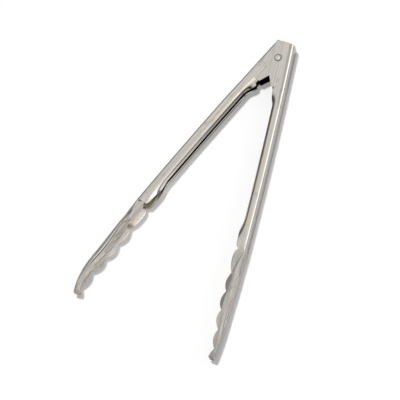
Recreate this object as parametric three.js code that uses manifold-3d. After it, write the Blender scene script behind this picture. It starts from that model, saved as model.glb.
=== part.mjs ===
// Kitchen tongs: two channel-shaped stampings that turn on one rivet, pushed open by a coil spring.
// Millimetres, +Z up. The tongs lie on their side, so Z runs along the rivet's axis and Y from the tips
// to the pivot. The origin is where the rivet's axis meets the surface that the tongs lie on.
import * as THREE from 'three';
import { mergeVertices } from 'three/addons/utils/BufferGeometryUtils.js';
import Module from 'manifold-3d';

const wasm = await Module();
wasm.setup();

const degree = Math.PI / 180;
const quarterTurn = Math.PI / 2;
const fullTurn = Math.PI * 2;

// The whole tongs
const openAngle = 27.6; // between the arms at rest, in degrees
const sheet = 1.0; // thickness of the stamped steel
const runningGap = 0.3; // between pieces that turn past or rest on each other
const tipAlong = 284.3; // from the rivet to the blunt tip, along the back
const topReach = 16.3; // from the rivet up to the outer arm's top end
const innerTopReach = 15; // and up to the inner arm's
const topRound = 40; // radius of the top end's shallow arc
const overrun = 3; // how far cutters and blanks run past what they cut

// The back line, which bows outwards along the handle and curls in at the tip
const backOffset = 12.1; // from the rivet's axis out to the back, at the top end
const bowTurn = 1.3; // slope of the back at each end of the handle, in degrees
const handleEnd = 196; // where the handle's bow ends
const headSlope = 2.4; // slope of the head's straight back, in degrees
const headSlopeEnd = 206;
const tipCurlStart = 250;
const outerTipSlope = 9; // slope of the outer arm's back at the tip, in degrees
const innerTipSlope = 27; // and of the inner arm's, which curls in further

// The channel section of the handle
const handleWidth = 22;
const backBend = 2; // outer radius of the fold between back and cheek
const cheekFlat = 5.1; // depth at which the cheek starts to roll into a lip
const lipRoll = 5.9; // length of sheet that the roll takes
const lipTurn = 90; // in degrees
const slotWidth = 5; // between the two lips
const flaredSlotWidth = 10; // where the lips run out towards the head
const slotFlareStart = 150;
const lipStart = 23; // where the cheeks start to roll in
const lipFull = 44; // where the roll is complete
const lipLong = 56; // and where the lip has its whole width
const reliefAlong = 27.4; // middle of the relief cut that frees the start of each lip
const reliefWidth = 1.2;
const reliefSheet = 2.5; // sheet left past the cheek's flat at the relief cut's bottom
const reliefFlank = 0.3; // length over which the cut's flank rises
const lipOpenTurn = 20; // how far the lip is rolled at its start, in degrees
const lipOpenDepth = 11; // depth of its edge there
const lipEndTurn = 68; // how far the lip is rolled at its end

// The pivot cheeks, whose free edge rises to a rounded nose beside the rivet
const noseAlong = 3;
const noseReach = 9.8; // from the rivet's axis to the nose, across the arm
const noseRound = 3;
const noseRiseShare = 0.277; // slope of the free edge above the nose
const noseFallShare = 0.4; // and below it
const neckStart = 34; // the inner arm widens from its nested width to the handle's between these two
const neckEnd = 60;

// The head, a scoop whose rolled walls open towards the tip and end in scalloped edges
const headStart = 180;
const headFull = 206;
const headBend = 6; // outer radius of the scoop's bottom corners
const firstCrest = 2.6; // depth at which the wall turns in, where the head starts
const fullCrest = 7.4; // and along the lobes
const crestFull = 222;
const headRoll = 3; // length of sheet that the turn takes
const headTurn = 32; // how far the first lobes turn in, in degrees
const unrollStart = 232;
const unrollEnd = 254;
const headReach = 10.3; // depth from the back to the lobes' tops
const tipReach = 5.6; // depth at the tip
const reachTaperStart = 230;
const widthTaperStart = 226;
const tipWidth = 15; // across the scoop just before the tip's round corners
const tipRoundLength = 14;
const tipRoundIn = 3.5; // how far the tip's corners come in
const bendLimitShare = 0.72; // most of the half width that a bend takes
const creaseStart = 198; // coined crease along the head's bottom corners
const creaseEnd = 258;
const creaseFade = 8; // length over which each end of the crease fades out
const creaseDepth = 0.35;
const creaseTurn = -20; // where it lies round the bend, in degrees before the crest
const creaseSpread = 7; // half of the bend's turn that it takes, in degrees

// The scallops and the notch that parts them from the handle's lips
const firstValley = 204.5;
const scallopPitch = 17.8;
const scallopDepth = 3;
const lipEnd = 180.2; // where the rounded end of the lip meets the notch
const lipEndRound = 4.5; // length over which the lip's end is rounded
const notchWidth = 2; // across the notch's bottom
const notchDepth = 7.5; // depth of sheet left at the notch's bottom
const lobeShoulder = 9; // length over which the first lobe rises from the notch

// The rivet
const shankRadius = 2.3;
const holeRadius = 2.55;
const rivetHeadRadius = 3.4;
const rivetHeadProud = 0.6; // how far each head stands out of the outer arm's cheek
const rivetEdge = 0.25; // bevel round each head
const ringInner = 2.0; // ring groove that the rolling tool leaves in the upper head
const ringOuter = 2.4;
const ringDepth = 0.2;
const dimpleRadius = 0.55;
const dimpleDepth = 0.25;

// The spring
const wireRadius = 0.9;
const coilRadius = 4.3; // to the middle of the wire
const coilPitch = 2.3;
const coilTurns = 5; // whole turns, besides the part turn between the two legs
const legAlong = 24; // where each leg meets its arm's back
const footLength = 7; // straight end of each leg along the back
const legHeel = 3; // length over which the leg bends into its foot

// How finely curves are divided
const bendSteps = 4;
const rollSteps = 4;
const lobeSteps = 6;
const wireSides = 8;
const turnSteps = 16;
const roundSides = 40;

const headWidth = handleWidth + 2 * rivetHeadProud; // so that the tongs lie level
const midHeight = headWidth / 2;
const nestedWidth = handleWidth - 2 * sheet - 2 * runningGap;
const restAngle = openAngle / 2;

function mix(from, to, share) {
  return from + (to - from) * share;
}

// Smooth step from 0 before the first place to 1 after the second.
function ramp(place, from, to) {
  const share = THREE.MathUtils.clamp((place - from) / (to - from), 0, 1);
  return share * share * (3 - 2 * share);
}

// Slope of the back line, in radians, at a distance along it from the rivet.
function backSlope(along, tipSlope) {
  const bow = mix(-bowTurn, bowTurn, THREE.MathUtils.clamp(along / handleEnd, 0, 1));
  const head = (headSlope - bowTurn) * ramp(along, handleEnd, headSlopeEnd);
  const curlShare = THREE.MathUtils.clamp((along - tipCurlStart) / (tipAlong - tipCurlStart), 0, 1);
  return (bow + head + (tipSlope - headSlope) * curlShare) * degree;
}

// The back line as a list of places, each with its distance along, its point down the arm and
// across it towards the other arm, and its slope.
function traceBack(places, tipSlope) {
  let down = places[0];
  let across = -backOffset;
  return places.map((along, i) => {
    if (i > 0) {
      const step = along - places[i - 1];
      const middle = backSlope(along - step / 2, tipSlope);
      down += step * Math.cos(middle);
      across += step * Math.sin(middle);
    }
    return { along, down, across, slope: backSlope(along, tipSlope) };
  });
}

// Places from one distance to another in even steps, without the last.
function evenPlaces(from, to, steps) {
  return Array.from({ length: steps }, (_, i) => mix(from, to, i / steps));
}

// Places from one distance to another that crowd towards the end, without the last.
function crowdedPlaces(from, to, steps) {
  return Array.from({ length: steps }, (_, i) => mix(from, to, Math.sin((quarterTurn * i) / steps)));
}

const lobeStart = lipEnd + notchWidth;
const reliefStart = reliefAlong - reliefWidth / 2;
const reliefEnd = reliefAlong + reliefWidth / 2;
const scallopCount = Math.ceil((tipAlong - firstValley) / scallopPitch);

function stationPlaces() {
  const places = [
    ...evenPlaces(-topReach - overrun, noseAlong - noseRound, 3),
    ...evenPlaces(noseAlong - noseRound, noseAlong + noseRound, 4),
    ...evenPlaces(noseAlong + noseRound, lipStart, 2),
    ...evenPlaces(lipStart, reliefStart - reliefFlank, 2),
    reliefStart - reliefFlank,
    reliefStart,
    reliefEnd,
    ...evenPlaces(reliefEnd + reliefFlank, lipFull, 5),
    ...evenPlaces(lipFull, neckEnd, 4),
    ...evenPlaces(neckEnd, slotFlareStart, 4),
    ...evenPlaces(slotFlareStart, lipEnd - lipEndRound, 4),
    ...crowdedPlaces(lipEnd - lipEndRound, lipEnd, 6),
    lipEnd,
    lobeStart,
    ...crowdedPlaces(-lobeStart - lobeShoulder, -lobeStart, 6).map((place) => -place).reverse(),
    ...evenPlaces(lobeStart + lobeShoulder, firstValley, 3).slice(1),
  ];
  for (let i = 0; i < scallopCount; i += 1) {
    const start = firstValley + i * scallopPitch;
    const steps = evenPlaces(start, start + scallopPitch, lobeSteps);
    places.push(...steps.filter((place) => place < tipAlong - sheet / 2));
  }
  places.push(tipAlong);
  return places;
}

// How far a scalloped edge lies below its crests, from 0 on a crest to 1 in a valley.
function scallopShare(along) {
  if (along < firstValley) {
    return Math.max(0, (along - lobeStart - lobeShoulder) / (firstValley - lobeStart - lobeShoulder)) ** 2;
  }
  const place = ((along - firstValley) / scallopPitch) % 1;
  return (2 * place - 1) ** 2;
}

// Depth of the pivot cheek's free edge from the back, with the nose rounded by a soft corner.
function cheekDepth(station) {
  const past = station.down - noseAlong;
  const soft = Math.hypot(past, noseRound);
  const above = (soft - past) / 2;
  const below = (soft + past) / 2;
  return noseReach - above * noseRiseShare - below * noseFallShare - station.across;
}

// Length of sheet past the cheek's flat, for a wanted depth of its edge.
function rollLength(depth, flat, roll, turn) {
  const radius = turn > 0 ? roll / turn : 0;
  const rolled = turn > 0 ? radius * Math.sin(turn) : roll;
  const left = depth - flat;
  if (left < rolled && turn > 0) return radius * Math.asin(left / radius);
  return roll + (left - rolled) / Math.cos(turn);
}

// Half the width at one station, from the middle plane to the outside of the wall.
function halfWidthAt(along, pivotWidth) {
  const rounding = Math.max(0, (along - tipAlong + tipRoundLength) / tipRoundLength);
  const neck = mix(pivotWidth, handleWidth, ramp(along, neckStart, neckEnd)) / 2;
  const flare = ((headWidth - handleWidth) / 2) * ramp(along, headStart, headFull);
  const taper = ((headWidth - tipWidth) / 2) * ramp(along, widthTaperStart, tipAlong);
  return neck + flare - taper - tipRoundIn * (1 - Math.sqrt(1 - Math.min(1, rounding) ** 2));
}

// The section of the pivot cheeks and the handle: flat cheeks that roll into lips.
function handleSizes(station, halfWidth) {
  const along = station.along;
  const slot = mix(slotWidth, flaredSlotWidth, ramp(along, slotFlareStart, lipEnd - lipEndRound));
  const lipRadius = lipRoll / (lipTurn * degree);
  const lip = lipRoll + halfWidth - lipRadius - slot / 2;
  const rolled = ramp(along, lipStart, lipFull);
  const sizes = { halfWidth, bend: backBend, flat: cheekFlat, roll: lipRoll, crease: 0 };
  if (along < reliefStart) {
    return { ...sizes, turn: lipTurn * degree * rolled, length: cheekDepth(station) - cheekFlat };
  }
  const formed = ramp(along, reliefEnd, lipFull);
  const flared = ramp(along, slotFlareStart, lipEnd - lipEndRound);
  const turn = (mix(lipOpenTurn, lipTurn, formed) - (lipTurn - lipEndTurn) * flared) * degree;
  if (along <= reliefEnd) return { ...sizes, turn, length: reliefSheet };
  const depth = mix(lipOpenDepth, cheekFlat + lipRadius, formed);
  const narrow = rollLength(depth, cheekFlat, lipRoll, turn);
  const whole = mix(narrow, lip, ramp(along, reliefEnd, lipLong));
  const rounded = Math.max(0, (along - lipEnd + lipEndRound) / lipEndRound);
  const kept = Math.sqrt(1 - Math.min(1, rounded) ** 2);
  const flat = mix(notchDepth - sheet, cheekFlat, kept);
  return { ...sizes, flat, turn, length: mix(sheet, whole, kept) };
}

// The section of the head: a scoop with round bottom corners and walls that end in scallops. Its walls
// turn in past their crest along the first lobes and stand open towards the tip.
function headSizes(along, halfWidth) {
  const risen = THREE.MathUtils.clamp((along - lobeStart) / lobeShoulder, 0, 1);
  const start = mix(notchDepth, headReach, Math.sqrt(1 - (1 - risen) ** 2));
  const reach = mix(start, tipReach, ramp(along, reachTaperStart, tipAlong));
  const depth = reach - scallopDepth * scallopShare(along);
  const crest = mix(firstCrest, fullCrest, ramp(along, headStart, crestFull));
  const flat = Math.min(crest, depth - sheet / 2);
  const lowest = Math.min(crest, reach - scallopDepth - sheet / 2);
  const bend = Math.min(headBend, lowest - sheet / 4, halfWidth * bendLimitShare);
  const turn = headTurn * degree * (1 - ramp(along, unrollStart, unrollEnd));
  const length = rollLength(depth, flat, headRoll, turn);
  const fade = ramp(along, creaseStart, creaseStart + creaseFade);
  const crease = creaseDepth * fade * (1 - ramp(along, creaseEnd - creaseFade, creaseEnd));
  return { halfWidth, bend, flat, roll: headRoll, turn, length, crease };
}

function sectionSizes(station, pivotWidth) {
  const halfWidth = halfWidthAt(station.along, pivotWidth);
  return station.along <= lipEnd ? handleSizes(station, halfWidth) : headSizes(station.along, halfWidth);
}

// The turns of the bend's points, each with how far the coined crease dents it.
function bendAngles(crease) {
  const angles = Array.from({ length: bendSteps }, (_, i) => [-quarterTurn * (1 - i / bendSteps), 0]);
  const middle = creaseTurn * degree;
  const spread = creaseSpread * degree;
  return [...angles.slice(0, -1), [middle - spread, 0], [middle, crease], [middle + spread, 0], [0, 0]];
}

// Half of the section's outer face, from the middle of the back to the wall's edge. Each point has its
// height over the middle plane, its depth from the back, and the turn of the sheet there.
function halfSection({ halfWidth, bend, flat, roll, turn, length, crease }) {
  const points = [{ height: 0, depth: 0, turn: -quarterTurn }];
  for (const [angle, dent] of bendAngles(crease)) {
    const height = halfWidth - bend + (bend - dent) * Math.cos(angle);
    points.push({ height, depth: bend + (bend - dent) * Math.sin(angle), turn: angle });
  }
  const straight = Math.max(length - roll, sheet / 2);
  const rolled = length - straight;
  const radius = roll / Math.max(turn, Number.EPSILON);
  for (let i = 0; i <= rollSteps; i += 1) {
    const run = (rolled * i) / rollSteps;
    const angle = (turn * run) / roll;
    const inward = turn > degree ? radius * (1 - Math.cos(angle)) : 0;
    const deeper = turn > degree ? radius * Math.sin(angle) : run;
    points.push({ height: halfWidth - inward, depth: flat + deeper, turn: angle });
  }
  const last = points[points.length - 1];
  points.push({
    height: last.height - straight * Math.sin(last.turn),
    depth: last.depth + straight * Math.cos(last.turn),
    turn: last.turn,
  });
  return points;
}

// The closed ring of one station: the outer face from edge to edge, a rounded edge, the inner face back
// and the other rounded edge.
function sectionRing(sizes) {
  const upper = halfSection(sizes);
  const lower = upper.slice(1).reverse();
  const outer = [
    ...lower.map((p) => ({ height: -p.height, depth: p.depth, turn: p.turn, side: -1 })),
    ...upper.map((p) => ({ ...p, side: 1 })),
  ];
  const inset = (p, share) => ({
    height: p.height - p.side * Math.cos(p.turn) * sheet * share,
    depth: p.depth - Math.sin(p.turn) * sheet * share,
  });
  const edge = (p) => {
    const middle = inset(p, 0.5);
    return {
      height: middle.height - (p.side * Math.sin(p.turn) * sheet) / 4,
      depth: middle.depth + (Math.cos(p.turn) * sheet) / 4,
    };
  };
  const inner = outer.map((p) => inset(p, 1)).reverse();
  return [...outer, edge(outer[outer.length - 1]), ...inner, edge(outer[0])];
}

// Joins rings of equal size into one closed skin, with the caps as strips across the sheet.
function skinRings(rings) {
  const size = rings[0].length;
  const count = size / 2 - 1;
  const index = [];
  for (let ring = 0; ring + 1 < rings.length; ring += 1) {
    for (let i = 0; i < size; i += 1) {
      const a = ring * size + i;
      const b = ring * size + ((i + 1) % size);
      index.push(a, b, b + size, a, b + size, a + size);
    }
  }
  const cap = (start, flip) => {
    const face = (a, b, c) => index.push(start + a, start + (flip ? c : b), start + (flip ? b : c));
    for (let i = 0; i + 1 < count; i += 1) {
      const mate = 2 * count - i;
      face(i, mate, i + 1);
      face(i + 1, mate, mate - 1);
    }
    face(count - 1, count + 1, count);
    face(2 * count, 0, size - 1);
  };
  cap(0, false);
  cap((rings.length - 1) * size, true);
  const geometry = new THREE.BufferGeometry();
  geometry.setAttribute('position', new THREE.Float32BufferAttribute(rings.flat(2), 3));
  geometry.setIndex(index);
  return geometry;
}

// A closed geometry as a solid that can be cut.
function solidOf(geometry) {
  const bare = geometry.clone();
  bare.deleteAttribute('normal');
  bare.deleteAttribute('uv');
  const merged = mergeVertices(bare, sheet / 10000);
  return new wasm.Manifold(
    new wasm.Mesh({
      numProp: 3,
      vertProperties: new Float32Array(merged.attributes.position.array),
      triVerts: new Uint32Array(merged.index.array),
    }),
  );
}

function geometryOf(solid) {
  const mesh = solid.getMesh();
  const geometry = new THREE.BufferGeometry();
  geometry.setAttribute('position', new THREE.Float32BufferAttribute(mesh.vertProperties, 3));
  geometry.setIndex(Array.from(mesh.triVerts));
  geometry.computeVertexNormals();
  return geometry;
}

// A flat outline extruded right through the arm, over the middle plane and under it.
function throughCutter(shape) {
  const depth = headWidth + 2 * overrun;
  const geometry = new THREE.ExtrudeGeometry(shape, { depth, bevelEnabled: false, curveSegments: 12 });
  geometry.translate(0, 0, -depth / 2);
  return solidOf(geometry);
}

// What lies beyond the top end's shallow arc. Across the arm is X here, and down the arm is -Y.
function topCutter(reach) {
  const side = topReach + noseReach + overrun;
  const spread = Math.asin(side / topRound);
  const centre = reach - topRound;
  const shape = new THREE.Shape();
  shape.absarc(0, centre, topRound, quarterTurn - spread, quarterTurn + spread, false);
  shape.lineTo(-side, reach + side);
  shape.lineTo(side, reach + side);
  shape.closePath();
  return throughCutter(shape);
}

// What would run into the outer arm's back: the inner arm's top corner ends in a straight stop edge.
function stopCutter() {
  const stop = backOffset - sheet - 2 * runningGap;
  const side = topReach + noseReach + overrun;
  const shape = new THREE.Shape();
  shape.moveTo(stop, -side);
  shape.lineTo(stop + side, -side);
  shape.lineTo(stop + side, side);
  shape.lineTo(stop, side);
  shape.closePath();
  return throughCutter(shape);
}

// One arm about its own rivet axis and middle plane, with its back on the side of +X.
function armSolid({ pivotWidth, reach, tipSlope }) {
  const stations = traceBack(stationPlaces(), tipSlope);
  const rings = stations.map((station) =>
    sectionRing(sectionSizes(station, pivotWidth)).map(({ height, depth }) => {
      const down = station.down - depth * Math.sin(station.slope);
      const across = station.across + depth * Math.cos(station.slope);
      return [-across, -down, height];
    }),
  );
  const hole = new THREE.CylinderGeometry(holeRadius, holeRadius, headWidth + 2 * overrun, roundSides);
  hole.rotateX(quarterTurn);
  return solidOf(skinRings(rings)).subtract(topCutter(reach)).subtract(solidOf(hole));
}

function outerArmGeometry() {
  return geometryOf(armSolid({ pivotWidth: handleWidth, reach: topReach, tipSlope: outerTipSlope }));
}

// The inner arm's stop edge is cut in the frame of the outer arm, which is this arm turned by the
// opening angle and seen from its other side.
function innerArmGeometry() {
  const whole = armSolid({ pivotWidth: nestedWidth, reach: innerTopReach, tipSlope: innerTipSlope });
  const mirrored = mirrorAcross(geometryOf(whole).rotateZ(openAngle * degree));
  return geometryOf(solidOf(mirrored).subtract(stopCutter())).rotateZ(openAngle * degree);
}

// The same shape with its left and right swapped, and its faces still pointing out.
function mirrorAcross(geometry) {
  const mirrored = geometry.clone();
  mirrored.scale(-1, 1, 1);
  const index = mirrored.index.array;
  for (let i = 0; i < index.length; i += 3) {
    [index[i + 1], index[i + 2]] = [index[i + 2], index[i + 1]];
  }
  return mirrored;
}

// The rivet as one turned profile, from its plain lower head to the ring and dimple of its upper head.
function rivetGeometry() {
  const lowSeat = midHeight - handleWidth / 2;
  const highSeat = midHeight + handleWidth / 2;
  const top = 2 * midHeight;
  const ringMiddle = (ringInner + ringOuter) / 2;
  const profile = [
    new THREE.Vector2(0, 0),
    new THREE.Vector2(rivetHeadRadius - rivetEdge, 0),
    new THREE.Vector2(rivetHeadRadius, rivetEdge),
    new THREE.Vector2(rivetHeadRadius, lowSeat),
    new THREE.Vector2(shankRadius, lowSeat),
    new THREE.Vector2(shankRadius, highSeat),
    new THREE.Vector2(rivetHeadRadius, highSeat),
    new THREE.Vector2(rivetHeadRadius, top - rivetEdge),
    new THREE.Vector2(rivetHeadRadius - rivetEdge, top),
    new THREE.Vector2(ringOuter, top),
    new THREE.Vector2(ringMiddle, top - ringDepth),
    new THREE.Vector2(ringInner, top),
    new THREE.Vector2(dimpleRadius, top),
    new THREE.Vector2(0, top - dimpleDepth),
  ];
  return new THREE.LatheGeometry(profile, roundSides).rotateX(quarterTurn);
}

// Where the foot of a leg lies inside its arm: its start and end, seen down the rivet's axis.
function footEnds() {
  const [, heel, toe] = traceBack([-topReach - overrun, legAlong, legAlong + footLength], outerTipSlope);
  const seat = sheet + runningGap + wireRadius;
  return [heel, toe].map((place) => new THREE.Vector2(-place.across - seat, -place.down));
}

// The spring's centre line: up from the outer arm's foot, round the coil, and out to the inner arm's.
function springPath() {
  const [heel, toe] = footEnds();
  const turnBy = (point, angle) => point.clone().rotateAround(new THREE.Vector2(), angle * degree);
  const away = turnBy(heel, restAngle);
  const start = away.angle() + Math.acos(coilRadius / away.length());
  const sweep = fullTurn * (coilTurns + 1) + Math.PI - 2 * start + fullTurn;
  const turns = sweep / fullTurn;
  const low = (-coilPitch * turns) / 2;
  const steps = Math.round(turns * turnSteps);
  const coil = Array.from({ length: steps + 1 }, (_, i) => {
    const angle = start + (sweep * i) / steps;
    const height = low + (coilPitch * turns * i) / steps;
    return new THREE.Vector3(coilRadius * Math.cos(angle), coilRadius * Math.sin(angle), height);
  });
  const leg = (height) => {
    const foot = turnBy(toe, restAngle);
    const along = foot.clone().sub(away).normalize().multiplyScalar(legHeel);
    const root = new THREE.Vector2(coilRadius * Math.cos(start), coilRadius * Math.sin(start));
    const down = away.clone().sub(root).normalize().multiplyScalar(legHeel);
    const before = away.clone().sub(down);
    const after = away.clone().add(along);
    const soft = away.clone().multiplyScalar(2).add(before).add(after).divideScalar(4);
    return [before, soft, after, foot].map((p) => new THREE.Vector3(p.x, p.y, height));
  };
  const first = leg(low).reverse();
  const second = leg(-low).map((p) => new THREE.Vector3(-p.x, p.y, p.z));
  return [...first, ...coil, ...second];
}

// Least free gap between parts of the wire that are more than half a turn apart.
function leastCoilGap(path) {
  let least = Infinity;
  path.forEach((a, i) => {
    for (let j = i + Math.ceil(turnSteps / 2); j < path.length; j += 1) {
      least = Math.min(least, a.distanceTo(path[j]) - 2 * wireRadius);
    }
  });
  return least;
}

// One unbroken round wire along the spring's centre line, with flat cut ends.
function springGeometry() {
  const path = springPath();
  console.log('least gap between the turns of the spring, mm:', leastCoilGap(path).toFixed(2));
  const up = new THREE.Vector3(0, 0, 1);
  const positions = [];
  path.forEach((point, i) => {
    const before = path[Math.max(i - 1, 0)];
    const after = path[Math.min(i + 1, path.length - 1)];
    const ahead = after.clone().sub(before).normalize();
    const out = ahead.clone().cross(up).normalize();
    const over = out.clone().cross(ahead);
    for (let side = 0; side < wireSides; side += 1) {
      const angle = (fullTurn * side) / wireSides;
      const rim = point.clone();
      rim.addScaledVector(out, wireRadius * Math.cos(angle));
      rim.addScaledVector(over, wireRadius * Math.sin(angle));
      positions.push(rim.x, rim.y, rim.z);
    }
  });
  const index = [];
  for (let ring = 0; ring + 1 < path.length; ring += 1) {
    for (let side = 0; side < wireSides; side += 1) {
      const a = ring * wireSides + side;
      const b = ring * wireSides + ((side + 1) % wireSides);
      index.push(a, b + wireSides, b, a, a + wireSides, b + wireSides);
    }
  }
  const last = (path.length - 1) * wireSides;
  for (let side = 1; side + 1 < wireSides; side += 1) {
    index.push(0, side, side + 1);
    index.push(last, last + side + 1, last + side);
  }
  const geometry = new THREE.BufferGeometry();
  geometry.setAttribute('position', new THREE.Float32BufferAttribute(positions, 3));
  geometry.setIndex(index);
  geometry.computeVertexNormals();
  return geometry;
}

const armSteel = { color: 0xc9c4ba, metalness: 0.9, roughness: 0.28 };

function piece(name, geometry, finish) {
  const mesh = new THREE.Mesh(geometry, new THREE.MeshStandardMaterial(finish));
  mesh.name = name;
  return mesh;
}

const outerArm = piece('outer_arm', outerArmGeometry(), armSteel);
outerArm.position.z = midHeight;
outerArm.rotation.z = restAngle * degree;

const innerArm = piece('inner_arm', innerArmGeometry(), armSteel);
innerArm.position.z = midHeight;
innerArm.rotation.z = -restAngle * degree;

const rivet = piece('rivet', rivetGeometry(), { color: 0xb8b4ac, metalness: 0.9, roughness: 0.35 });

const spring = piece('torsion_spring', springGeometry(), {
  color: 0x9a9a98,
  metalness: 0.95,
  roughness: 0.3,
});
spring.position.z = midHeight;

const tongs = new THREE.Group();
tongs.add(outerArm, innerArm, rivet, spring);

export default tongs;
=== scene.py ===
"""Kitchen tongs in pressed steel: two channel arms, a rivet and a coil spring.

Metres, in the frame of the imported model: Z runs along the rivet, Y from the tips to the pivot.
"""
import math

import bpy
from mathutils import Euler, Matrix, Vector


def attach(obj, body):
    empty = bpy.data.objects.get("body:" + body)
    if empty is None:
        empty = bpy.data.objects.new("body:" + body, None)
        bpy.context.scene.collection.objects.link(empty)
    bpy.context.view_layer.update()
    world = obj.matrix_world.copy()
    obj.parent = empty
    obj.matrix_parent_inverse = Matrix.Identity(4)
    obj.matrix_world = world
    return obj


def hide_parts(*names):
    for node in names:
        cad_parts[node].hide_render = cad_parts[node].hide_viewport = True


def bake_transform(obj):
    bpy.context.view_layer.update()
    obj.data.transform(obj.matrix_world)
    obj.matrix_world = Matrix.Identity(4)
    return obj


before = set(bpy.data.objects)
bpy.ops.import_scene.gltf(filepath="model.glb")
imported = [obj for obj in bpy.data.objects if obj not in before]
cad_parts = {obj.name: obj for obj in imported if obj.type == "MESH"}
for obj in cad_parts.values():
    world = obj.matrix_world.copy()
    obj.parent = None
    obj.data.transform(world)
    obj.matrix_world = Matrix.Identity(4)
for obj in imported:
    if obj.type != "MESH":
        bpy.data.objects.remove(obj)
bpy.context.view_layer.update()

mm = 0.001
quarter = 90.0  # degrees in a square corner
open_angle = 27.6  # degrees between the two arms at rest
rest_angle = math.radians(open_angle / 2)

# Camera, fitted to the photograph's view
image_width = 400
view_scale = 1105.0
view_distance = 5.0
view_target = Vector((-0.00554, -0.14753, 0.0116))
view_degrees = (14.573, 6.172, 27.231)
view_turn = Euler([math.radians(value) for value in view_degrees])
sensor_width = 36.0

# The arms in millimetres and degrees. Places down an arm are measured from the rivet along its back
sheet = 1.0
running_gap = 0.3
tip_along = 284.3  # the blunt tip
top_reach = 16.3  # from the rivet up to the outer arm's top end
inner_top_reach = 15.0
top_round = 40.0  # radius of the top end's shallow arc
top_inset = 0.03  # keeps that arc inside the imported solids' box
back_offset = 12.1  # from the rivet's axis out to the back, at the top end
bow_turn = 1.3  # slope of the back at each end of the handle
handle_end = 196.0
head_slope = 2.4
head_slope_end = 206.0
tip_curl_start = 250.0
handle_width = 22.0
back_bend = 2.4

# The cheeks' nose and the neck
nose_along = 3.0
nose_reach = 9.8
nose_round = 3.0
nose_rise_share = 0.277
nose_fall_share = 0.4
neck_start = 34.0
neck_end = 60.0

# The lips and the slot between them
lip_turn = 90.0
lip_start = 23.0
lip_full = 44.0
lip_long = 56.0
lip_lean = -0.5  # how far the lip's first edge leans towards the tip, for each millimetre of depth
lip_end = 180.2
lip_end_turn = 20.0
lip_end_round = 4.5
relief_along = 27.4  # middle of the cut that frees the start of each lip
relief_width = 0.5
relief_sheet = 6.2  # sheet left past the cheek's flat at that cut
relief_flank = 0.25
slot_width = 8.4
flared_slot_width = 11.0
slot_flare_start = 150.0

# The head, and the depths from the back at which its walls start to turn
head_start = 180.0
head_full = 206.0
head_bend = 6.0
head_reach = 10.3
end_reach = 5.6
reach_taper_start = 230.0
width_taper_start = 226.0
first_crest = 1.9  # where the first lobe starts
valley_crest = 7.0  # in the first valley
full_crest = 4.9  # along the second and third lobes
last_crest = 6.6  # towards the tip
first_crest_start = 184.0
first_crest_end = 203.0
crest_full = 207.0
crest_last = 240.0
head_roll = 1.2
turn_change = 1.5
unroll_start = 236.0
unroll_end = 246.0
tip_width = 15.0
tip_round_length = 14.0
tip_round_in = 3.5
bend_limit_share = 0.72  # most of the half width that a bend takes
bend_room_share = 0.25  # of the sheet's thickness, kept between the bend and the wall's roll
notch_width = 2.0
notch_depth = 7.5
lobe_shoulder = 9.0
first_valley = 204.5
scallop_pitch = 17.8
scallop_depth = 3.0
crease_start = 198.0
crease_end = 258.0
crease_fade = 8.0
crease_depth = 0.9
crease_spread = 9.0
flute_depth = 0.3  # shallow dents round the scoop's corner, one for each lobe
flute_turn = -58.0  # where they lie round the bend
flute_spread = 24.0

# What differs between the two arms
outer_form = {
    "tip_slope": 9.0,
    "cheek_flat": 4.7,
    "lip_roll": 6.5,
    "lip_open_turn": 20.0,
    "lip_open_depth": 10.8,
    "lip_end_depth": 9.8,
    "first_turn": 5.0,
    "lobe_turn": 32.0,
    "crease_turn": -72.0,
}
inner_form = {
    "tip_slope": 27.0,
    "cheek_flat": 6.5,
    "lip_roll": 4.6,
    "lip_open_turn": 40.0,
    "lip_open_depth": 13.3,
    "lip_end_depth": 10.7,
    "first_turn": -10.0,
    "lobe_turn": -13.0,
    "crease_turn": -8.0,
}

# The sheet's edge, and how the arms' skins are joined and shaded
edge_depth = 0.25  # how far the sheet's rounded edge stands past its faces
edge_square_share = 0.6  # how square that edge is, from 0 for square to 1 for round
join_distance = 0.004
smooth_angle = 35.0

# How finely the arms are divided
cheek_steps = 10
nose_steps = 10
cheek_end_steps = 6
lip_start_steps = 4
lip_forming_steps = 14
neck_steps = 8
handle_steps = 14
flare_steps = 10
round_steps = 12
first_lobe_steps = 10
lobe_steps = 22
bend_steps = 10
last_bend_steps = 2
crease_steps = 8
flat_places_share = 0.15  # where the flat's two lines lie, in from its ends
roll_steps = 10
edge_steps = 6
end_steps = 4
least_turn = 1.0  # a wall that turns less is rolled straight, and the bend's last step begins here
round_sides = 64

# The rivet and the spring in millimetres
rivet_head_proud = 0.6
hole_radius = 2.55
shank_radius = 2.3
rivet_radius = 3.4
rivet_edge = 0.25
rivet_round_share = 1 / 3
roll_middle = 2.75
sunk_radius = 2.1
sunk_depth = 0.4
dot_radius = 0.35
dot_height = 0.15
dot_crown_share = 1.4
dot_tip_share = 0.25
spring_join_distance = 0.01
spring_smooth_angle = 50.0

# The steels
arm_tint = (0.612, 0.585, 0.55)
handle_roughness = 0.16
head_roughness = 0.55
rivet_tint = (0.66, 0.64, 0.61)
rivet_roughness = 0.3
spring_tint = (0.45, 0.45, 0.45)
spring_roughness = 0.25
warm_shares = (1.01, 0.985, 0.945)
cool_shares = (0.985, 0.985, 0.985)
cloud_roughness = 0.12
grain_height = 0.03
grain_strength = 0.2

# Their patterns: how often each repeats in a metre, across and along the arm, and how finely
grain_pattern = (3000, 60, 3.0)
band_pattern = (520, 9, 2.0)
line_pattern = (1300, 7, 1.0)
cloud_pattern = (95, 70, 4.0)
smudge_pattern = (210, 120, 3.0)
speckle_pattern = (1500, 900, 3.0)
dash_pattern = (20, 170, 2.0)

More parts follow.
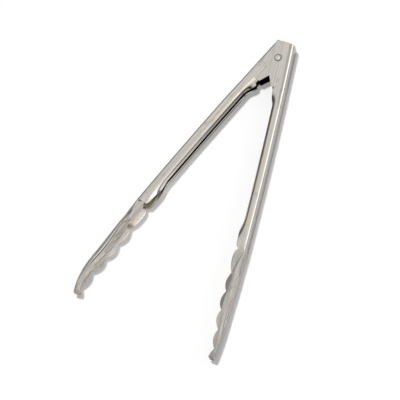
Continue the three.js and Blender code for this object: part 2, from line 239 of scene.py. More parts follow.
# The part of each pattern's range that its effect is spread over, and how bright its two ends are
noise_middle = 0.5
noise_range = (0.3, 0.7)
cloud_range = (0.38, 0.62)
smudge_range = (0.3, 0.42)
dash_range = (0.3, 0.65)
band_shares = (0.9, 1.07)
line_shares = (0.92, 1.07)
smudge_shares = (0.84, 1.0)
speckle_shares = (0.9, 1.1)
dash_shares = (0.4, 1.0)

# Where the metal is darker or lighter, mostly painted shade and light: down the arm in millimetres,
# and out from the middle of its back in columns of its grid. Four places are where a mark begins, is
# full, starts to fade and ends
ring_columns = 160
middle_column = 37
inside_columns = (76.0, 79.2, 155.2, 158.4)
inside_down = (140.0, 180.0)  # the channel's painted shade gives way to the scoop's painted light
# Painted shade inside the handle's channel and painted light inside the scoop, as shares of the
# brightness
handle_inside_shade_share = 0.27
head_inside_light_share = 1.2
matt_down = (174.0, 190.0)  # the handle's bright finish gives way to the head's matt one
line_width = 2.24
# Painted shade on the back of the channel, where it mirrors the floor's shadow, stronger near the top
# end
back_shade_out = (5.44, 2.0)
back_shade_end_down = (190.0, 174.0)
back_top_shade_down = (40.0, 0.0)
back_top_shade_share = 0.16
# Painted dark reflection on the lips of both arms, near the pivot
lip_reflection_shade_out = (28.8, 33.6, 38.4, 39.2)
lip_reflection_shade_down = (30.0, 42.0, 88.0, 120.0)
lip_reflection_shade_share = 0.5
rivet_shadow_away = (3.2, 3.35, 3.35, 3.6)  # painted shadow round the rivet's head, out from its axis
rivet_shadow_share = 0.35
rivet_rim_shade_away = (2.35, 2.7)  # painted shade: the rivet's rolled rim is darker than its middle
rivet_rim_shade_share = 0.28

# Painted shade on the outer arm alone: at the end of its fold, on its head's corner and in a line on
# its cheek
# painted shade at the end of the fold
fold_shade_out = (18.4, 24.0, 24.8, 30.4)
fold_shade_down = (178.0, 186.0, 202.0, 207.0)
fold_shade_share = 0.5
# painted shade on the head's corner
corner_shade_out = (13.6, 16.8, 24.0, 27.2)
corner_shade_share = 0.16
# painted dark reflection in a line on the cheek, beside the fold's highlight
cheek_shade_line_column = 23.0
cheek_shade_line_down = (55.0, 28.0)
cheek_shade_line_share = 0.3

# Painted light and shade on the inner arm alone, and its darker dashes
# painted highlight on the head's bend
bend_highlight_out = (9.5, 11.5, 15.0, 16.5)
bend_highlight_share = 0.35
dash_out = (2.0, 7.0, 9.5, 11.5)
dash_share = 0.32
# painted shade of a small dent where the head's crease begins
dent_shade_out = (4.8, 9.6, 17.6, 24.0)
dent_shade_down = (189.0, 194.0, 194.0, 199.0)
dent_shade_share = 0.4
# painted highlight on the first lobe and painted shade in the first valley
facet_out = (21.6, 25.6, 37.6, 39.2)
facet_rise = 4.0
facet_fade = 198.0
facet_end = 203.0
facet_highlight_share = 0.15
facet_inside_highlight_share = 0.35
valley_down = (198.0, 201.5, 202.5, 206.0)
valley_shade_share = 0.35
valley_inside_shade_share = 0.4
# painted light on the lip's roll towards its end
late_lip_out = (27.52, 30.4, 36.0, 37.6)
late_lip_start = 130.0
late_lip_full = 150.0
late_lip_fade = 165.0
late_lip_light_share = 0.4
# painted dark reflection in a thin line on the cheek before the lip's roll
roll_shade_line_out = (23.5, 23.7, 23.7, 23.95)
roll_shade_line_share = 0.25

# How the head's finish and the painted light and shade that both arms have differ
outer_look = {
    "matt_share": 0.87,
    "back_shade_share": 0.16,
    "crease_column": 6.0,
    "crease_shade_share": 0.5,
    "crease_highlight_column": 11.6,
    "crease_highlight_share": 0.6,
}
inner_look = {
    "matt_share": 0.93,
    "back_shade_share": 0.0,
    "crease_column": 17.8,
    "crease_shade_share": 0.8,
    "crease_highlight_column": 34.0,
    "crease_highlight_share": 0.25,
}

# How bright the surroundings are, where 1 is white
white = (1.0, 1.0, 1.0, 1.0)
overhead_light = 0.95
side_light = 1.9
horizon_light = 0.17
near_light = 0.6  # at the horizon, nearer the camera on the bright side
near_side_share = 0.3  # of the bright side's light that comes from nearer the camera
fill_share = 0.2  # of the surroundings' light that reaches matt surfaces, besides the key lamp

# Where they change: up, to the side of +X and away from the camera, as parts of a step that way
overhead_up = (0.35, 0.85)
side_up = (0.2, 0.45)
side_aside = (0.02, 0.16)
side_ahead = (0.02, 0.25)
near_aside = (0.0, 0.25)
near_ahead = (0.0, -0.35)

key_light = 2.3
key_spread = 6.0  # how wide the key lamp looks, in degrees
key_turn = (-4.7, -8.8, 0.0)
floor_size = 6.0
floor_shade = 0.82
floor_glow = 0.24
floor_dim = 0.22  # how much darker the metal mirrors it
mirrored_share = 0.8  # of that glow which the metal mirrors

# The sockets that mix two colours, by number
first_colour_input = 6
second_colour_input = 7
colour_output = 2

# Sizes that follow from those above
lobe_start = lip_end + notch_width
relief_start = relief_along - relief_width / 2
relief_end = relief_along + relief_width / 2
head_width = handle_width + 2 * rivet_head_proud
mid_height = head_width / 2
nested_width = handle_width - 2 * sheet - 2 * running_gap
late_crease = inner_form["crease_turn"] - 2 * crease_spread  # start of the later of the two creases
facet_down = (lobe_start, lobe_start + facet_rise, facet_fade, facet_end)
late_lip_down = (late_lip_start, late_lip_full, late_lip_fade, lip_end)


def mix(start, end, share):
    return start + (end - start) * share


def clamp(value):
    return min(1.0, max(0.0, value))


def ramp(place, start, end):
    """Smooth step from 0 before the first place to 1 after the second."""
    share = clamp((place - start) / (end - start))
    return share * share * (3 - 2 * share)


def even(start, end, steps):
    """Evenly spaced places, without the last."""
    return [mix(start, end, i / steps) for i in range(steps)]


def crowded(start, end, steps):
    """Places that crowd towards the end, without the last."""
    return [mix(start, end, math.sin(math.pi / 2 * i / steps)) for i in range(steps)]


def back_slope(along, tip_slope):
    """The back's slope: bowed along the handle, straight on the head and curled at the tip."""
    bow = mix(-bow_turn, bow_turn, clamp(along / handle_end))
    head = (head_slope - bow_turn) * ramp(along, handle_end, head_slope_end)
    curl = clamp((along - tip_curl_start) / (tip_along - tip_curl_start))
    return math.radians(bow + head + (tip_slope - head_slope) * curl)


def station_places():
    """The places down the arm that have a ring of points, from the nose to past the tip."""
    places = even(nose_along - nose_round, nose_along + nose_round, nose_steps)
    places += even(nose_along + nose_round, lip_start, cheek_end_steps)
    places += even(lip_start, relief_start - relief_flank, lip_start_steps)
    places += [relief_start - relief_flank, relief_start, relief_end]
    places += even(relief_end + relief_flank, lip_full, lip_forming_steps)
    places += even(lip_full, neck_end, neck_steps)
    places += even(neck_end, slot_flare_start, handle_steps)
    places += even(slot_flare_start, lip_end - lip_end_round, flare_steps)
    places += crowded(lip_end - lip_end_round, lip_end, round_steps)
    places += [lip_end, lobe_start]
    shoulder = crowded(-lobe_start - lobe_shoulder, -lobe_start, round_steps)
    places += [-place for place in reversed(shoulder)]
    places += even(lobe_start + lobe_shoulder, first_valley, first_lobe_steps)[1:]
    count = math.ceil((tip_along - first_valley) / scallop_pitch)
    for i in range(count):
        start = first_valley + i * scallop_pitch
        places += even(start, start + scallop_pitch, lobe_steps)
    return places


def scallop_share(along):
    """How far a scalloped edge lies below its crests, from 0 on a crest to 1 in a valley."""
    if along < first_valley:
        shoulder = lobe_start + lobe_shoulder
        return max(0.0, (along - shoulder) / (first_valley - shoulder)) ** 2
    place = ((along - first_valley) / scallop_pitch) % 1
    return (2 * place - 1) ** 2


def cheek_depth(down, across):
    """Depth of the pivot cheek's free edge from the back, with its nose rounded."""
    past = down - nose_along
    soft = math.hypot(past, nose_round)
    above = (soft - past) / 2
    below = (soft + past) / 2
    return nose_reach - above * nose_rise_share - below * nose_fall_share - across


def roll_length(depth, flat, roll, turn):
    """Length of sheet past the wall's flat, for a wanted depth of its edge."""
    if turn == 0:
        return depth - flat
    radius = roll / turn
    rolled = radius * math.sin(turn)
    left = depth - flat
    if left < rolled:
        return radius * math.asin(left / radius)
    return roll + (left - rolled) / math.cos(turn)


def half_width_at(along, pivot_width):
    """Half of the arm's width: necked at the pivot, flared at the head and rounded at the tip."""
    rounding = max(0.0, (along - tip_along + tip_round_length) / tip_round_length)
    neck = mix(pivot_width, handle_width, ramp(along, neck_start, neck_end)) / 2
    flare = (head_width - handle_width) / 2 * ramp(along, head_start, head_full)
    taper = (head_width - tip_width) / 2 * ramp(along, width_taper_start, tip_along)
    corner = tip_round_in * (1 - math.sqrt(1 - min(1.0, rounding) ** 2))
    return neck + flare - taper - corner


def lean_at(along):
    """How far the sheet past the cheek's flat leans along the arm, for each millimetre of depth."""
    return lip_lean * (1 - ramp(along, relief_end, lip_long)) if along > relief_start else 0.0


def handle_sizes(along, down, across, half_width, form):
    """Flat cheeks that roll into lips: bend, flat, roll, turn, length, crease and flute."""
    flared = ramp(along, slot_flare_start, lip_end - lip_end_round)
    slot = mix(slot_width, flared_slot_width, flared)
    cheek_flat = form["cheek_flat"]
    lip_roll = form["lip_roll"]
    lip_radius = lip_roll / math.radians(lip_turn)
    if along < relief_start:
        turn = math.radians(lip_turn) * ramp(along, lip_start, lip_full)
        length = cheek_depth(down, across) - cheek_flat
        return back_bend, cheek_flat, lip_roll, turn, length, 0.0, 0.0
    formed = ramp(along, relief_end, lip_full)
    turn = mix(form["lip_open_turn"], lip_turn, formed) - (lip_turn - lip_end_turn) * flared
    turn = math.radians(turn)
    if along <= relief_end:
        return back_bend, cheek_flat, lip_roll, turn, relief_sheet, 0.0, 0.0
    depth = mix(form["lip_open_depth"], cheek_flat + lip_radius, formed)
    narrow = roll_length(depth, cheek_flat, lip_roll, turn)
    lip = lip_roll + half_width - lip_radius - slot / 2
    whole = mix(narrow, lip, ramp(along, relief_end, lip_long))
    whole = mix(whole, roll_length(form["lip_end_depth"], cheek_flat, lip_roll, turn), flared)
    rounded = max(0.0, (along - lip_end + lip_end_round) / lip_end_round)
    kept = math.sqrt(1 - min(1.0, rounded) ** 2)
    flat = mix(notch_depth - sheet, cheek_flat, kept)
    return back_bend, flat, lip_roll, turn, mix(sheet, whole, kept), 0.0, 0.0


def head_sizes(along, half_width, form):
    """The same sizes for a scoop with round bottom corners, whose walls turn and end in scallops."""
    risen = clamp((along - lobe_start) / lobe_shoulder)
    start = mix(notch_depth, head_reach, math.sqrt(1 - (1 - risen) ** 2))
    reach = mix(start, end_reach, ramp(along, reach_taper_start, tip_along))
    depth = reach - scallop_depth * scallop_share(along)
    run_out = clamp((along - first_crest_start) / (first_crest_end - first_crest_start))
    crest = mix(first_crest, valley_crest, run_out)
    crest = mix(crest, full_crest, ramp(along, first_crest_end, crest_full))
    crest = mix(crest, last_crest, ramp(along, crest_full, crest_last))
    flat = min(crest, depth - sheet / 2)
    lowest = min(crest, reach - scallop_depth - sheet / 2)
    bend = min(head_bend, lowest - sheet * bend_room_share, half_width * bend_limit_share)
    change = ramp(along, first_valley - turn_change, first_valley + turn_change)
    turned = mix(form["first_turn"], form["lobe_turn"], change)
    turn = math.radians(turned) * (1 - ramp(along, unroll_start, unroll_end))
    length = roll_length(depth, flat, head_roll, turn)
    fade = ramp(along, crease_start, crease_start + crease_fade)
    fade *= 1 - ramp(along, crease_end - crease_fade, crease_end)
    flute = flute_depth * fade * (1 - scallop_share(along)) ** 2
    return bend, flat, head_roll, turn, length, crease_depth * fade, flute


def half_section(half_width, crease_turn, sizes):
    """Half of the outer face: height over the middle plane, depth from the back, sheet's turn."""
    bend, flat, roll, turn, length, crease, flute = sizes
    half_width += min(0.0, math.sin(turn)) * (head_reach - flat)
    corner = half_width - bend
    points = [(0.0, 0.0, -math.pi / 2), (corner - edge_depth, 0.0, -math.pi / 2)]
    low = max(-quarter, crease_turn - 2 * crease_spread)
    high = min(-least_turn, crease_turn + 2 * crease_spread)
    before = round(bend_steps * (low + quarter) / (late_crease + quarter))
    angles = even(-quarter, low, before) + even(low, high, crease_steps)
    angles += even(high, 0.0, bend_steps + last_bend_steps - before) + [0.0]
    for angle in angles:
        off = min(1.0, abs(angle - crease_turn) / crease_spread)
        dented = min(1.0, abs(angle - flute_turn) / flute_spread)
        radius = bend - crease * (1 - ramp(off, 0.0, 1.0)) - flute * (1 - ramp(dented, 0.0, 1.0))
        place = math.radians(angle)
        points.append((corner + radius * math.cos(place), bend + radius * math.sin(place), place))
    for share in (flat_places_share, 1 - flat_places_share):
        points.append((half_width, mix(bend, flat, share), 0.0))
    straight = max(length - roll, sheet / 2)
    rolled = length - straight
    bent = abs(turn) > math.radians(least_turn)
    for i in range(roll_steps + 1):
        run = rolled * i / roll_steps
        angle = turn * run / roll
        inward = roll / turn * (1 - math.cos(angle)) if bent else 0.0
        deeper = roll / turn * math.sin(angle) if bent else run
        points.append((half_width - inward, flat + deeper, angle))
    height, depth, angle = points[-1]
    for run in (straight - edge_depth, straight):
        points.append((height - run * math.sin(angle), depth + run * math.cos(angle), angle))
    return points


def section_ring(half, thin):
    """The closed ring of one station, as height and depth, thinned towards the sheet's middle."""
    outer = [(-height, depth, turn, -1.0) for height, depth, turn in reversed(half[1:])]
    outer += [(height, depth, turn, 1.0) for height, depth, turn in half]

    def inset(point, share, past=0.0):
        """A point that share of the sheet's thickness in, and so far past its edge."""
        height, depth, turn, side = point
        run = sheet * share
        height += side * (-math.cos(turn) * run - math.sin(turn) * past)
        return height, depth - math.sin(turn) * run + math.cos(turn) * past

    def edge(point, order):
        """The rounded edge of the sheet at one end of the outer face."""
        places = []
        for i in order:
            around = math.pi * i / edge_steps
            out = math.sin(around) ** edge_square_share
            aside = abs(math.cos(around)) ** edge_square_share
            aside = math.copysign(aside, math.cos(around))
            places.append(inset(point, (1 - aside * thin) / 2, edge_depth * out * thin))
        return places

    steps = range(1, edge_steps)
    skin = (1 - thin) / 2
    ring = [inset(point, skin) for point in outer] + edge(outer[-1], steps)
    ring += [inset(point, 1 - skin) for point in reversed(outer)] + edge(outer[0], reversed(steps))
    return ring


def end_places(place, inwards):
    """Places and thicknesses that round the sheet off at one end of the arm."""
    turns = [math.pi / 2 * i / end_steps for i in range(end_steps + 1)]
    return [
        (place + inwards * edge_depth * (1 - math.cos(turn)), math.sin(turn) ** edge_square_share)
        for turn in turns
    ]


def arm_rings(pivot_width, reach, form):
    """Rings of points down one arm, about its own rivet's axis and middle plane."""
    top = end_places(-reach, 1)
    tip = end_places(tip_along, -1)[::-1]
    first = top[-1][0]
    last = tip[0][0]
    places = [(place, 1.0) for place in even(first, nose_along - nose_round, cheek_steps)[1:]]
    places += [(place, 1.0) for place in station_places() if place < last - edge_depth]
    rings = []
    down = -reach
    across = -back_offset
    before = -reach
    for along, thin in top + places + tip:
        middle = back_slope((along + before) / 2, form["tip_slope"])
        down += (along - before) * math.cos(middle)
        across += (along - before) * math.sin(middle)
        before = along
        half_width = half_width_at(along, pivot_width)
        if along <= lip_end:
            sizes = handle_sizes(along, down, across, half_width, form)
        else:
            sizes = head_sizes(along, half_width, form)
        slope = back_slope(along, form["tip_slope"])
        ring = []
        for height, depth in section_ring(half_section(half_width, form["crease_turn"], sizes), thin):
            x = -across - depth * math.cos(slope)
            y = -down + depth * math.sin(slope) + lean_at(along) * max(0.0, depth - form["cheek_flat"])
            ring.append([x, y, height])
        rings.append(ring)
    # Above the rivet the rings are stretched, so that the top end follows its arc
    ends = [(x, y) for x, y, _ in rings[0]]
    for ring in rings:
        for point, (x, y) in zip(ring, ends):
            if point[1] > 0:
                arc = reach - top_inset - top_round + math.sqrt(top_round**2 - x**2)
                point[1] *= 1 + (arc / y - 1) * point[1] / y
    return rings


def arm_piece(name, rings, side, turn):
    """One arm as a closed skin, from a grid whose rows are the stations down the arm."""
    rows = len(rings)
    columns = len(rings[0])
    bpy.ops.object.select_all(action="DESELECT")
    bpy.ops.mesh.primitive_grid_add(x_subdivisions=columns, y_subdivisions=rows - 1, size=1)
    piece = bpy.context.object
    piece.name = name
    placed = []
    for ring in rings:
        for x, y, height in ring + ring[:1]:
            spot = Vector((side * x * mm, y * mm, (mid_height + height) * mm))
            spot.rotate(Euler((0, 0, turn)))
            placed.append(spot)
    for vertex, spot in zip(piece.data.vertices, placed):
        vertex.co = spot
    pattern = piece.data.uv_layers.active.data
    for loop in piece.data.loops:
        row, column = divmod(loop.vertex_index, columns + 1)
        pattern[loop.index].uv = (row / rows, column / columns)
    bpy.ops.object.mode_set(mode="EDIT")
    bpy.ops.mesh.select_all(action="SELECT")
    bpy.ops.mesh.remove_doubles(threshold=join_distance * mm)
    bpy.ops.mesh.normals_make_consistent(inside=False)
    bpy.ops.object.mode_set(mode="OBJECT")
    return piece


def cut_stop(piece):
    """Cuts the inner arm's top corner to the straight edge that stops on the outer arm's back."""
    stop = (back_offset - sheet - 2 * running_gap) * mm
    out = Vector((math.cos(rest_angle), math.sin(rest_angle), 0))
    bpy.ops.object.mode_set(mode="EDIT")
    bpy.ops.mesh.select_all(action="SELECT")
    bpy.ops.mesh.bisect(plane_co=stop * out, plane_no=out, use_fill=True, clear_outer=True)
    bpy.ops.object.mode_set(mode="OBJECT")


def drill(piece):
    """Cuts the rivet's hole through both cheeks and rounds the shading."""
    middle = (0, 0, mid_height * mm)
    bpy.ops.mesh.primitive_cylinder_add(
        vertices=round_sides, radius=hole_radius * mm, depth=2 * head_width * mm, location=middle
    )
    cutter = bpy.context.object
    cut = piece.modifiers.new("hole", "BOOLEAN")
    cut.operation = "DIFFERENCE"
    cut.object = cutter
    bpy.ops.object.select_all(action="DESELECT")
    bpy.context.view_layer.objects.active = piece
    piece.select_set(True)
    bpy.ops.object.modifier_apply(modifier=cut.name)
    bpy.data.objects.remove(cutter)
    bpy.ops.object.shade_smooth_by_angle(angle=math.radians(smooth_angle))
    piece.select_set(False)


def rivet_places():
    """The rivet's profile: a rolled head with a sunk middle and a dot, a shank, and the same below."""
    seat = handle_width / 2
    top = seat + rivet_head_proud
    bevel = rivet_edge * rivet_round_share
    head = [
        (shank_radius, seat),
        (rivet_radius, seat),
        (rivet_radius, seat + rivet_edge),
        (rivet_radius - bevel, seat + 2 * rivet_edge),
        (rivet_radius - rivet_edge, top - bevel),
        (roll_middle, top),
        (sunk_radius + rivet_edge, top - bevel),
        (sunk_radius, top - sunk_depth),
        (dot_radius + rivet_edge, top - sunk_depth),
        (dot_radius, top - sunk_depth + dot_height),
        (dot_radius * dot_tip_share, top - sunk_depth + dot_crown_share * dot_height),
    ]
    places = [(radius, mid_height - height) for radius, height in reversed(head)]
    return places + [(radius, mid_height + height) for radius, height in head]


def turned_piece(name, profile):
    """A closed round piece about the rivet's axis, drawn up ring by ring from its profile."""
    bpy.ops.object.select_all(action="DESELECT")
    start, low = profile[0]
    bpy.ops.mesh.primitive_circle_add(
        vertices=round_sides, radius=start * mm, fill_type="NGON", location=(0, 0, low * mm)
    )
    bpy.ops.object.transform_apply(location=True)
    piece = bpy.context.object
    piece.name = name
    bpy.ops.object.mode_set(mode="EDIT")
    bpy.ops.mesh.select_all(action="SELECT")
    for (radius, height), (wider, higher) in zip(profile, profile[1:]):
        lift = {"value": (0, 0, (higher - height) * mm)}
        bpy.ops.mesh.extrude_region_move(TRANSFORM_OT_translate=lift)
        share = wider / radius
        bpy.ops.transform.resize(value=(share, share, 1), center_override=(0, 0, higher * mm))
    bpy.ops.mesh.select_all(action="SELECT")
    bpy.ops.mesh.normals_make_consistent(inside=False)
    bpy.ops.object.mode_set(mode="OBJECT")
    bpy.ops.object.shade_smooth_by_angle(angle=math.radians(smooth_angle))
    piece.select_set(False)
    return piece


def smooth_copy(node, name):
    """A merged copy of the spring's solid, shaded smooth across its shallow edges."""
    bpy.ops.object.select_all(action="DESELECT")
    piece = bpy.data.objects.new(name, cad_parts[node].data.copy())
    bpy.context.scene.collection.objects.link(piece)
    bpy.context.view_layer.objects.active = piece
    piece.select_set(True)
    piece.data.materials.clear()
    bpy.ops.object.mode_set(mode="EDIT")
    bpy.ops.mesh.select_all(action="SELECT")
    bpy.ops.mesh.remove_doubles(threshold=spring_join_distance * mm)
    bpy.ops.object.mode_set(mode="OBJECT")
    bpy.ops.object.shade_smooth_by_angle(angle=math.radians(spring_smooth_angle))
    piece.select_set(False)
    return piece


class Socket:
    """One value in a material, which takes part in plain sums."""

    def __init__(self, finish, output):
        self.finish = finish
        self.output = output

    def maths(self, operation, *terms):
        return self.finish.node("ShaderNodeMath", dict(enumerate(terms)), operation=operation)

    def __add__(self, other):
        return self.maths("ADD", self, other)

    def __radd__(self, other):
        return self.maths("ADD", other, self)

    def __sub__(self, other):
        return self.maths("SUBTRACT", self, other)

    def __rsub__(self, other):
        return self.maths("SUBTRACT", other, self)

    def __mul__(self, other):
        return self.maths("MULTIPLY", self, other)

    def __rmul__(self, other):
        return self.maths("MULTIPLY", other, self)


class Finish:
    """The nodes of a material or of the surroundings, built up one by one."""

    def __init__(self, owner):
        self.owner = owner
        self.owner.use_nodes = True
        self.tree = self.owner.node_tree
        self.tree.nodes.clear()

    def node(self, kind, inputs=None, output=0, **settings):
        """Adds one node: its settings first, then its sockets' values or links."""
        made = self.tree.nodes.new(kind)
        for key, value in settings.items():
            setattr(made, key, value)
        for key, value in (inputs or {}).items():
            if isinstance(value, Socket):
                self.tree.links.new(value.output, made.inputs[key])
            else:
                made.inputs[key].default_value = value
        return Socket(self, made.outputs[output]) if made.outputs else None

    def rise(self, value, start, end, low=0.0, high=1.0):
        """A smooth step from low at the first place to high at the second."""
        return self.node(
            "ShaderNodeMapRange",
            {"Value": value, "From Min": start, "From Max": end, "To Min": low, "To Max": high},
            interpolation_type="SMOOTHSTEP",
        )

    def band(self, value, start, full, fade, end):
        """1 between the two middle places, and 0 before the first and after the last."""
        return self.rise(value, start, full) * self.rise(value, end, fade)

    def blend(self, share, first, second, way="MIX"):
        """Mixes two colours."""
        inputs = {0: share, first_colour_input: first, second_colour_input: second}
        return self.node(
            "ShaderNodeMix", inputs, output=colour_output, data_type="RGBA", blend_type=way
        )


def tinted(tint, shares):
    """A colour whose three parts are scaled, each by its own share."""
    red, green, blue = [value * share for value, share in zip(tint, shares)]
    return (red, green, blue, 1.0)


class Steel(Finish):
    """Rolled steel with bands, lines and a fine grain along the arm, clouded and smudged."""

    def __init__(self, name, turn, tint, roughness):
        super().__init__(bpy.data.materials.new(name))
        place = self.node("ShaderNodeTexCoord", output="Object")
        self.place = self.node("ShaderNodeMapping", {"Vector": place, "Rotation": (0, 0, turn)})
        flat = self.node("ShaderNodeVectorMath", {0: self.place, 1: (1, 1, 0)}, operation="MULTIPLY")
        away = self.node("ShaderNodeVectorMath", {0: flat}, output="Value", operation="LENGTH")
        self.away = away * (1 / mm)
        cloud = self.noise(cloud_pattern)
        warm = tinted(tint, warm_shares)
        cool = tinted(tint, cool_shares)
        self.colour = self.blend(self.rise(cloud, *cloud_range), warm, cool)
        bands = self.rise(self.noise(band_pattern), *noise_range, *band_shares)
        lines = self.rise(self.noise(line_pattern), *noise_range, *line_shares)
        smudges = self.rise(self.noise(smudge_pattern), *smudge_range, *smudge_shares)
        self.shade = bands * lines * smudges
        self.rough = roughness + cloud_roughness * (cloud - noise_middle)
        self.height = self.noise(grain_pattern)

    def noise(self, pattern):
        across, along, detail = pattern
        scale = {"Vector": self.place, "Scale": (across, along, across)}
        vector = self.node("ShaderNodeMapping", scale)
        return self.node("ShaderNodeTexNoise", {"Vector": vector, "Scale": 1.0, "Detail": detail})

    def darken(self, share, mark):
        """Takes that share of the brightness away where the mark is full."""
        self.shade = self.shade * (1.0 - share * mark)

    def lighten(self, share, mark):
        """Adds that share of the brightness where the mark is full."""
        self.shade = self.shade * (1.0 + share * mark)

    def finished(self):
        """Puts the parts together and returns the material."""
        tone = self.node("ShaderNodeCombineXYZ", {0: self.shade, 1: self.shade, 2: self.shade})
        colour = self.blend(1.0, self.colour, tone, "MULTIPLY")
        relief = {"Height": self.height, "Strength": grain_strength, "Distance": grain_height * mm}
        bump = self.node("ShaderNodeBump", relief)
        surface = self.node(
            "ShaderNodeBsdfPrincipled",
            {"Base Color": colour, "Metallic": 1.0, "Roughness": self.rough, "Normal": bump},
        )
        self.node("ShaderNodeOutputMaterial", {"Surface": surface})
        return self.owner


class ArmSteel(Steel):
    """An arm's steel: bright on the handle, with painted shade in the channel and painted light in the
    scoop, matt on the head, and more painted light and shade in places.
    """

    def __init__(self, name, turn, look):
        super().__init__(name, turn, arm_tint, handle_roughness)
        self.down = self.node("ShaderNodeSeparateXYZ", {0: self.place}, output="Y") * (-1 / mm)
        pattern = self.node("ShaderNodeTexCoord", output="UV")
        column = self.node("ShaderNodeSeparateXYZ", {0: pattern}, output="Y") * ring_columns
        self.out = self.node("ShaderNodeMath", {0: column - middle_column}, operation="ABSOLUTE")
        self.inside = self.band(column, *inside_columns)
        self.head = self.rise(self.down, *matt_down)
        self.finish_head(look["matt_share"])
        # painted shade inside the channel and painted light inside the scoop
        self.paint_inside_shade_and_light()
        # painted shade in the head's crease and a painted highlight beside it
        self.draw_crease(look)
        # painted shadow round the rivet's head
        self.darken(rivet_shadow_share, self.band(self.away, *rivet_shadow_away))
        # painted dark reflection on the lips near the pivot
        self.darken(lip_reflection_shade_share, self.mark(lip_reflection_shade_down, lip_reflection_shade_out))
        # painted shade on the back of the channel, stronger near the top end
        back = self.rise(self.out, *back_shade_out) * self.rise(self.down, *back_shade_end_down)
        top = self.rise(self.down, *back_top_shade_down)
        self.darken(1.0, back * (look["back_shade_share"] + back_top_shade_share * top))

    def mark(self, down, out):
        """A mark between four places down the arm and four out from the middle of its back."""
        return self.band(self.down, *down) * self.band(self.out, *out)

    def line(self, column):
        """A soft line down one column of the arm's grid."""
        return self.band(self.out, column - line_width, column, column, column + line_width)

    def finish_head(self, matt_share):
        """The head's matt, speckled finish."""
        speckle = self.noise(speckle_pattern)
        worn = self.rise(speckle, *noise_range, *speckle_shares)
        self.lighten(1.0, self.head * (matt_share * worn - 1.0))
        self.rough = self.rough + self.head * (head_roughness - handle_roughness)
        self.height = self.height + self.head * (speckle - self.height)

    def paint_inside_shade_and_light(self):
        """Painted shade on the inside of the sheet in the handle's channel, and painted light on it in
        the scoop.
        """
        opened = self.rise(self.down, *inside_down)
        inside_shading = handle_inside_shade_share + opened * (head_inside_light_share - handle_inside_shade_share)
        self.lighten(1.0, self.inside * (inside_shading - 1.0))

    def draw_crease(self, look):
        """Painted shade in the head's crease, and a painted highlight beside it."""
        rise = crease_start + crease_fade
        fall = crease_end - crease_fade
        self.scored = self.band(self.down, crease_start, rise, fall, crease_end)
        column = look["crease_column"]
        self.darken(look["crease_shade_share"], self.scored * self.line(column))
        start = column + line_width / 2
        full = start + line_width
        lit = self.band(self.out, start, full, full, look["crease_highlight_column"])
        self.lighten(look["crease_highlight_share"], self.scored * lit)

    def paint_outer_shade(self):
        """The outer arm's painted shade: at the end of its fold, on its head's corner and in a line on
        its cheek.
        """
        # painted shade at the end of the fold
        self.darken(fold_shade_share, self.mark(fold_shade_down, fold_shade_out))
        # painted shade on the head's corner
        self.darken(corner_shade_share, self.head * self.band(self.out, *corner_shade_out))
        # painted dark reflection in a line on the cheek
        upper = self.rise(self.down, *cheek_shade_line_down)
        self.darken(cheek_shade_line_share, upper * self.line(cheek_shade_line_column))

    def paint_inner_light_and_shade(self):
        """The inner arm's painted light and shade on its head's bend, a dent, its first lobe and its
        lip's end, and darker dashes.
        """
        # painted highlight on the head's bend
        self.lighten(bend_highlight_share, self.scored * self.band(self.out, *bend_highlight_out))
        dashes = self.rise(self.noise(dash_pattern), *dash_range, *dash_shares)
        self.darken(dash_share, self.scored * self.band(self.out, *dash_out) * dashes)
        # painted shade of a small dent
        self.darken(dent_shade_share, self.mark(dent_shade_down, dent_shade_out))
        lobe = self.band(self.down, *facet_down)
        valley = self.band(self.down, *valley_down)
        facet = self.band(self.out, *facet_out)
        # painted highlight on the first lobe and painted shade in the first valley, outside and inside
        self.lighten(1.0, facet * (facet_highlight_share * lobe - valley_shade_share * valley))
        self.lighten(1.0, self.inside * (facet_inside_highlight_share * lobe - valley_inside_shade_share * valley))
        # painted light on the lip's roll towards its end
        self.lighten(late_lip_light_share, self.mark(late_lip_down, late_lip_out))
        # painted dark reflection in a thin line before the lip's roll
        self.darken(roll_shade_line_share, self.mark(late_lip_down, roll_shade_line_out))


outer_rings = arm_rings(handle_width, top_reach, outer_form)
outer_arm = arm_piece("outer_channel", outer_rings, 1, rest_angle)
drill(outer_arm)
outer_steel = ArmSteel("outer_arm_steel", -rest_angle, outer_look)
outer_steel.paint_outer_shade()
outer_arm.data.materials.append(outer_steel.finished())
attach(outer_arm, "outer_half")
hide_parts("outer_arm")

inner_rings = arm_rings(nested_width, inner_top_reach, inner_form)
inner_arm = arm_piece("inner_channel", inner_rings, -1, -rest_angle)
cut_stop(inner_arm)
drill(inner_arm)
inner_steel = ArmSteel("inner_arm_steel", rest_angle, inner_look)
inner_steel.paint_inner_light_and_shade()
inner_arm.data.materials.append(inner_steel.finished())
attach(inner_arm, "inner_half")
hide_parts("inner_arm")

rivet = turned_piece("pivot_rivet", rivet_places())
rivet_steel = Steel("rivet_steel", 0.0, rivet_tint, rivet_roughness)
# painted shade on the rivet's rolled rim
rivet_steel.darken(1.0 - rivet_rim_shade_share, rivet_steel.rise(rivet_steel.away, *rivet_rim_shade_away))
rivet.data.materials.append(rivet_steel.finished())
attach(rivet, "outer_half")
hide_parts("rivet")

spring = smooth_copy("torsion_spring", "coil_spring")
spring.data.materials.append(Steel("spring_steel", 0.0, spring_tint, spring_roughness).finished())
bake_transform(spring)
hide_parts("torsion_spring")

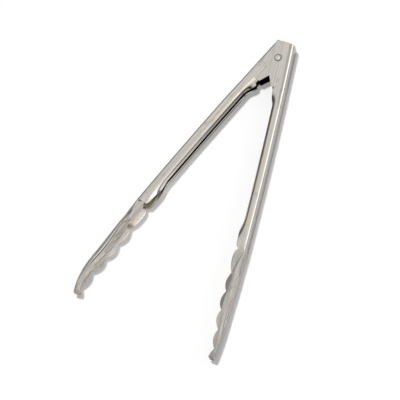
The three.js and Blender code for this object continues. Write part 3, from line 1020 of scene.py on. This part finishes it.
# Floor, which looks white and keeps the shadow
bpy.ops.mesh.primitive_plane_add(size=floor_size, location=(0, 0, 0))
floor = bpy.context.object
floor.name = "floor"
finish = Finish(bpy.data.materials.new("white_floor"))
seen = finish.node("ShaderNodeLightPath", output="Is Camera Ray")
mirrored = finish.node("ShaderNodeLightPath", output="Is Glossy Ray")
matt = finish.node("ShaderNodeBsdfDiffuse", {"Color": floor_shade - floor_dim * mirrored})
strength = floor_glow * (seen + mirrored_share * mirrored)
glow = finish.node("ShaderNodeEmission", {"Color": white, "Strength": strength})
both = finish.node("ShaderNodeAddShader", {0: matt, 1: glow})
finish.node("ShaderNodeOutputMaterial", {"Surface": both})
floor.data.materials.append(finish.owner)

# Surroundings: bright overhead and brighter on the side of +X, dim at the horizon, and plain white
# where the camera sees them
world = bpy.data.worlds.new("studio")
bpy.context.scene.world = world
sky = Finish(world)
heading = sky.node("ShaderNodeTexCoord", output="Generated")
aside, ahead, up = [sky.node("ShaderNodeSeparateXYZ", {0: heading}, output=axis) for axis in "XYZ"]
near = sky.rise(ahead, *near_ahead) * sky.rise(aside, *near_aside)
low_light = horizon_light + near * (near_light - horizon_light)
overhead = low_light + sky.rise(up, *overhead_up) * (overhead_light - low_light)
beside = sky.rise(aside, *side_aside) * sky.rise(up, *side_up)
beside = beside * sky.rise(ahead, *side_ahead, near_side_share, 1.0)
dome = overhead + beside * (side_light - overhead)
camera_ray = sky.node("ShaderNodeLightPath", output="Is Camera Ray")
matt_ray = sky.node("ShaderNodeLightPath", output="Is Diffuse Ray")
lighting = dome * (1.0 - (1.0 - fill_share) * matt_ray)
strength = camera_ray + (1.0 - camera_ray) * lighting
back = sky.node("ShaderNodeBackground", {"Color": white, "Strength": strength})
sky.node("ShaderNodeOutputWorld", {"Surface": back})

# Key lamp, a soft one nearly overhead that the metal doesn't mirror
lamp = bpy.data.lights.new("key", "SUN")
lamp.energy = key_light
lamp.angle = math.radians(key_spread)
key = bpy.data.objects.new("key", lamp)
key.rotation_euler = [math.radians(value) for value in key_turn]
key.visible_glossy = False
bpy.context.scene.collection.objects.link(key)

# Camera
lens = bpy.data.cameras.new("camera")
lens.sensor_width = sensor_width
lens.lens = sensor_width * view_scale * view_distance / image_width
camera = bpy.data.objects.new("camera", lens)
camera.rotation_euler = view_turn
camera.location = view_target + view_turn.to_matrix() @ Vector((0, 0, view_distance))
bpy.context.scene.collection.objects.link(camera)
bpy.context.scene.camera = camera
bpy.context.scene.view_settings.view_transform = "Standard"
